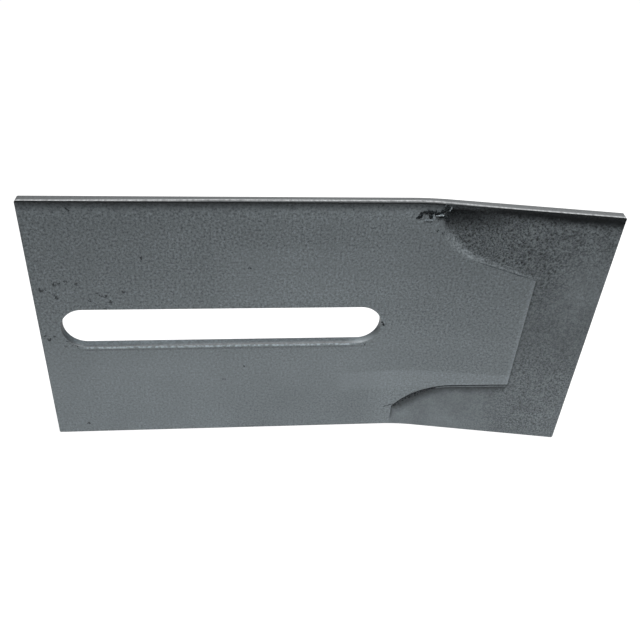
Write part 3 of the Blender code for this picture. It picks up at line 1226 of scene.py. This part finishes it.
# soot and painted shade darken the layer
tone = alloy.blend(alloy.times(alloy.share("shade_and_soot"), 0.93), tone, grey(0.013, 3.0))
alloy.feed("Base Color", tone)
alloy.feed("Roughness", alloy.remap(coarse, 0.0, 1.0, 0.55, 0.75))
alloy.relief(coarse, 0.05, 0.8)
print("wear alloy:", len(alloy.nodes), "nodes")

# %% [markdown]
# Slag is black scale with slightly lighter crests, and the beads are the same scale, rubbed
# more. One recipe makes both, with the crests' tone as its only difference. The flecks are
# clean grey metal.

# %% Mix the scale and the clean metal


def scale_finish(name, crest_tone):
    """Black scale whose crests are rubbed to a lighter tone."""
    finish = Finish(name, 0.2, 0.55)
    crests = finish.grain(2.5, 4.0, 0.7)
    tone = finish.blend(finish.remap(crests, 0.45, 0.7), grey(0.012, 3.0), crest_tone)
    finish.feed("Base Color", tone)
    finish.relief(crests, 0.05, 0.8)
    return finish


scale_black = scale_finish("slag_black", grey(0.12, 2.0))
scale_rubbed = scale_finish("rubbed_beads", grey(0.26))
bare_metal = Finish("bare_spatter", 0.3, 0.5)
bare_metal.feed("Base Color", bare_metal.blend(bare_metal.grain(2.0), grey(0.35), grey(0.75)))
print("small finishes:", scale_black.material.name, scale_rubbed.material.name, bare_metal.material.name)

# %% [markdown]
# Finishes and hand-over
#
# The two large pieces carry a face finish and a cut finish, the small ones one each. Then the
# imported solids are hidden, and each piece rides on a body: nothing on a scraper moves, so that
# is always the root.

# %% Put the finishes on
for piece, face_finish in ((blade, steel), (layer, alloy)):
    piece.data.materials[0] = face_finish.material
    piece.data.materials[1] = sheared.material
small_finishes = ((slag, scale_black), (fusion, scale_rubbed), (spatter, bare_metal), (bead, alloy))
for piece, finish in small_finishes:
    piece.data.materials.clear()
    piece.data.materials.append(finish.material)

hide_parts("scraper_blade")
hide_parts("hard_facing_layer")
for piece in (blade, layer, slag, fusion, spatter, bead):
    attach(piece, "root")
print("handed over:", [piece.name for piece in pieces])

# %% [markdown]
# Table and card
#
# The plate stands on a pale table. A white card lies at its foot and throws light back up,
# which is why the face grows lighter downwards. The camera sees only the table, and the plate
# sees only the card, so each can have its own brightness.

# %% Lay the table and the card
CARD_FRONT, CARD_REAR, CARD_WIDTH = 0.075, 0.10, 0.40
TABLE_DOWN, CARD_DOWN = 0.0003, 0.0002


def plain_surface(obj, colour, glow=0.0):
    """A matt one-colour surface, for the stage only."""
    surface = bpy.data.materials.new(obj.name)
    surface.use_nodes = True
    shader = surface.node_tree.nodes["Principled BSDF"]
    shader.inputs["Base Color"].default_value = (colour, colour, colour, 1.0)
    shader.inputs["Roughness"].default_value = 1.0
    shader.inputs["Specular IOR Level"].default_value = 0.0
    shader.inputs["Emission Color"].default_value = (1.0, 1.0, 1.0, 1.0)
    shader.inputs["Emission Strength"].default_value = glow
    obj.data.materials.append(surface)


let_go()
bpy.ops.mesh.primitive_plane_add(size=6.0, location=(0, 0, -TABLE_DOWN))
floor = bpy.context.object
floor.name = "pale_table"
plain_surface(floor, 0.20, 0.97)
floor.visible_diffuse = False
floor.visible_glossy = False

let_go()
bpy.ops.mesh.primitive_plane_add(size=1.0, location=(0, (CARD_REAR - CARD_FRONT) / 2, -CARD_DOWN))
card = bpy.context.object
card.name = "bounce_card"
card.scale = (CARD_WIDTH, CARD_FRONT + CARD_REAR, 1.0)
plain_surface(card, 0.6)
card.visible_camera = False
card.visible_shadow = False
print("stage:", floor.name, card.name)

# %% [markdown]
# Lamps
#
# Two soft lamps hang high above the plate, one a little in front and a weaker one behind. The
# front one grazes the face, which shows every burr and grain, and the rear one lights the back.
# The backdrop is plain white and seen only by the camera, so it adds no light of its own.

# %% Hang the lamps
LAMP_HEIGHT, LAMP_ASIDE = 0.60, 0.12
LAMP_WIDTH, LAMP_DEPTH = 0.45, 0.18


def hang_lamp(name, y, energy):
    """A soft rectangular lamp facing straight down."""
    data = bpy.data.lights.new(name, "AREA")
    data.shape = "RECTANGLE"
    data.size = LAMP_WIDTH
    data.size_y = LAMP_DEPTH
    data.energy = energy
    obj = bpy.data.objects.new(name, data)
    obj.location = (LAMP_ASIDE, y, LAMP_HEIGHT)
    bpy.context.collection.objects.link(obj)
    print(name, "hangs at", tuple(obj.location), "with", energy, "W")


hang_lamp("front_lamp", -0.14, 3.6)
hang_lamp("rear_lamp", 0.25, 2.0)

world = bpy.data.worlds.new("studio")
bpy.context.scene.world = world
world.use_nodes = True
backdrop = world.node_tree.nodes["Background"]
backdrop.inputs["Color"].default_value = (1.0, 1.0, 1.0, 1.0)
backdrop.inputs["Strength"].default_value = 1.0
world.cycles_visibility.diffuse = False
world.cycles_visibility.glossy = False
bpy.context.scene.view_settings.view_transform = "Standard"

# %% [markdown]
# Camera
#
# The camera looks down on the plate from the front. Its place, turn and lens were found by
# matching the plate's corners to the picture, so they are odd numbers. The shift moves the
# picture in its frame with no change of perspective.

# %% Stand the camera
CAMERA_PLACE = (-26.042, -167.909, 161.147)
CAMERA_TURN = (54.7655, -2.7522, -5.1895)

camera_data = bpy.data.cameras.new("camera")
camera_data.lens = 40.06
camera_data.sensor_width = 36.0
camera_data.shift_x = 0.0284
camera_data.shift_y = 0.0105
camera_data.clip_start = 0.005
camera = bpy.data.objects.new("camera", camera_data)
camera.location = Vector(CAMERA_PLACE) * MM
camera.rotation_euler = [math.radians(turn) for turn in CAMERA_TURN]
bpy.context.collection.objects.link(camera)
bpy.context.scene.camera = camera
print("camera stands at", CAMERA_PLACE, "mm")
